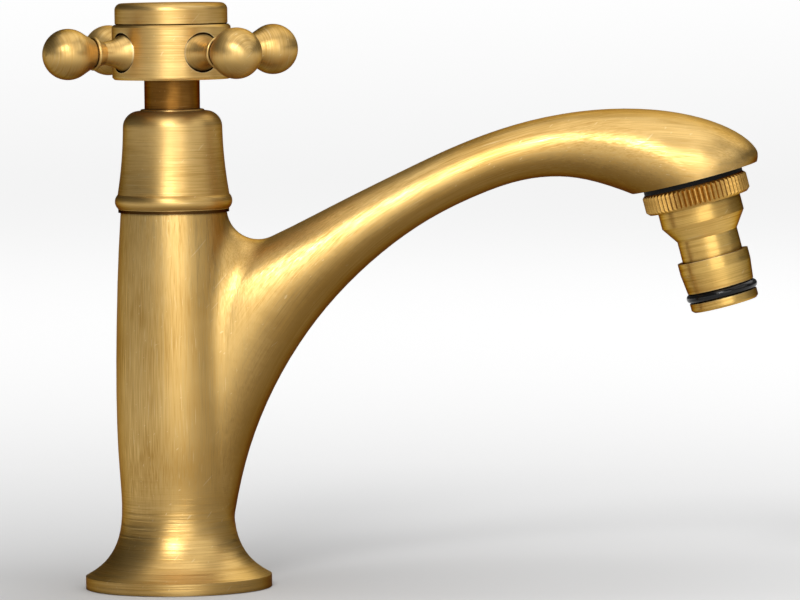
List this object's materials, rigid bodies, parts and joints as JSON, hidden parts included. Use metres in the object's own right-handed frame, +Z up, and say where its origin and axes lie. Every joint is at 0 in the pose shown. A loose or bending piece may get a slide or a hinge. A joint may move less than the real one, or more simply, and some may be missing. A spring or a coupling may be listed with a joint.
{
  "type": "basin pillar tap",
  "caption": "Brass basin tap with a swan spout, bell bonnet and quarter-turn cross handle, and a quick-connect hose adapter screwed into the outlet.",
  "frame": {"origin": "middle of the base, on the axis of the inlet socket, at the face that stands on the basin", "axes": "+Z up the column, +X along the spout, +Y to the left of someone who looks along the spout"},
  "size_m": [0.1649, 0.0582, 0.136],
  "materials": {
    "antique_brass": "brushed antique brass",
    "turned_brass": "turned yellow brass",
    "raw_brass": "machined brass",
    "black_rubber": "matte black rubber",
    "fibre": "pressed red fibre",
    "white_ceramic": "lapped ceramic",
    "white_polymer": "moulded polymer",
    "stainless": "plain stainless steel"
  },
  "bodies": {
    "body": {"tap_body": "antique_brass", "base_gasket": "black_rubber", "headwork_body": "raw_brass", "headwork_washer": "fibre", "seat_seal": "black_rubber", "fixed_disc": "white_ceramic", "thrust_washer": "white_polymer", "bonnet": "antique_brass"},
    "handle": {"handle_hub": "antique_brass", "handle_spoke_1": "antique_brass", "handle_spoke_2": "antique_brass", "handle_spoke_3": "antique_brass", "handle_spoke_4": "antique_brass", "handle_screw": "stainless", "index_cap": "antique_brass", "spindle": "raw_brass", "spindle_o_ring_lower": "black_rubber", "spindle_o_ring_upper": "black_rubber", "spindle_clip": "stainless", "moving_disc": "white_ceramic"},
    "washer": {"outlet_washer": "black_rubber"},
    "adapter": {"hose_adapter": "turned_brass", "adapter_o_ring": "black_rubber"}
  },
  "joints": [
    {"name": "handle_turn", "type": "hinge", "parent": "body", "child": "handle", "pos_m": [0, 0, 0.1], "axis": [0, 0, 1], "range_deg": [0, 90]},
    {"name": "adapter_travel", "type": "slide", "parent": "body", "child": "washer", "axis": [0.2453, 0, -0.9694], "range_m": [0, 0.005]},
    {"name": "adapter_turn", "type": "hinge", "parent": "washer", "child": "adapter", "pos_m": [0.1205, 0, 0.09385], "axis": [0.2453, 0, -0.9694], "range_deg": [0, 1800]}
  ],
  "couplings": [
    {"joint": "adapter_turn", "follows": "adapter_travel", "rad_per_m": 6283.1}
  ]
}
